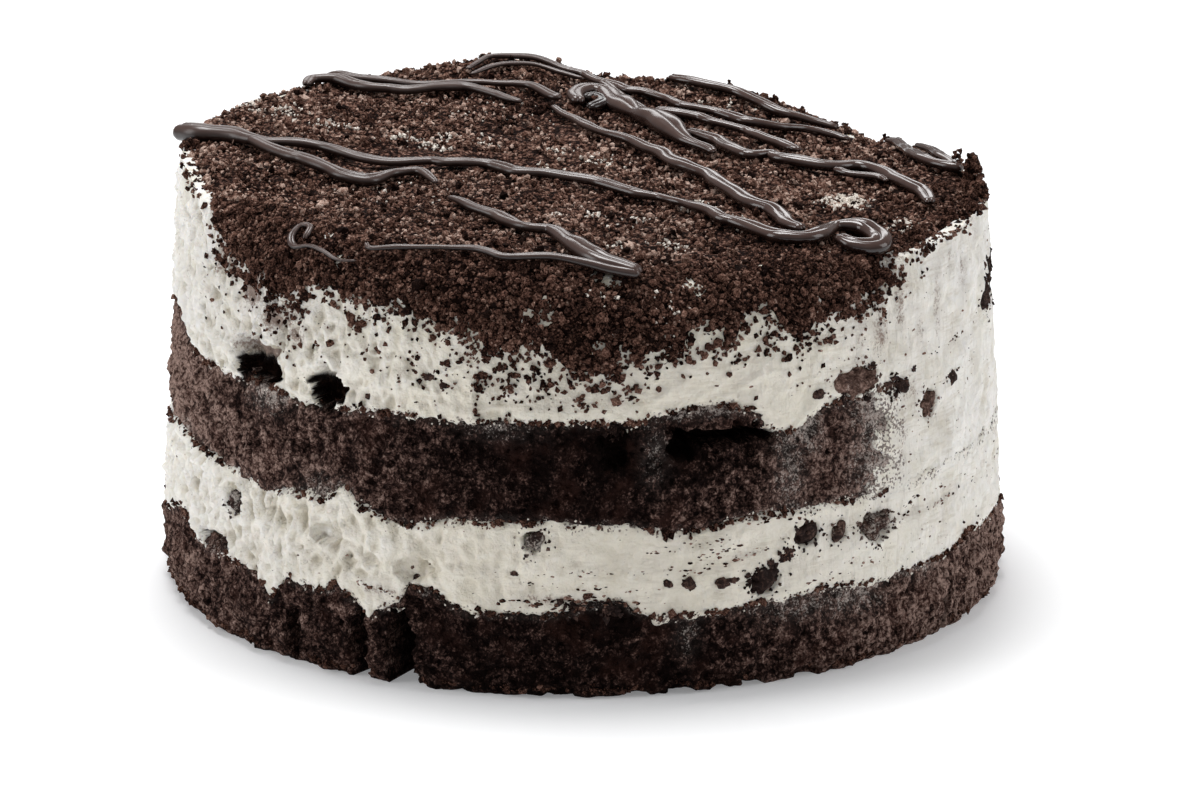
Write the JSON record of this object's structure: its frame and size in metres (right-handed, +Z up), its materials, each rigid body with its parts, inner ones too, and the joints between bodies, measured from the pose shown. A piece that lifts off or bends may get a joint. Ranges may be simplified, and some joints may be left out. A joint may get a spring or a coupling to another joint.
{
  "type": "cookies and cream ice cream cake",
  "caption": "Round cookies and cream ice cream cake: chocolate sponge and ice cream in layers, cookie pieces in the ice cream, a crumb topping over the front edge and a chocolate drizzle.",
  "frame": {"origin": "middle of the cake's foot, on the surface that it stands on", "axes": "+Z up; the pictured front, where the crumbs hang lowest, faces -Y; +X is the picture's right"},
  "size_m": [0.1846, 0.1858, 0.097],
  "materials": {
    "sponge": "soft open crumb, matte, dark chocolate",
    "ice_cream": "smooth frozen cream, soft sheen",
    "crumb": "fine dry cookie crumbs, matte",
    "cookie": "broken cookie, matte",
    "drizzle": "set chocolate sauce, soft gloss"
  },
  "bodies": {
    "root": {"sponge_bottom": "sponge", "ice_cream_lower": "ice_cream", "sponge_upper": "sponge", "ice_cream_upper": "ice_cream", "crumb_topping": "crumb", "cookie_front_low": "cookie", "cookie_front_mid": "cookie", "cookie_front_small": "cookie", "cookie_right_mid": "cookie", "cookie_middle": "cookie", "cookie_left": "cookie", "cookie_right_seam": "cookie", "cookie_right_coat": "cookie", "cookie_right_high": "cookie", "cookie_back_right": "cookie", "cookie_back_high": "cookie", "cookie_back_low": "cookie", "cookie_back_left": "cookie", "cookie_left_low": "cookie"}
  },
  "joints": []
}
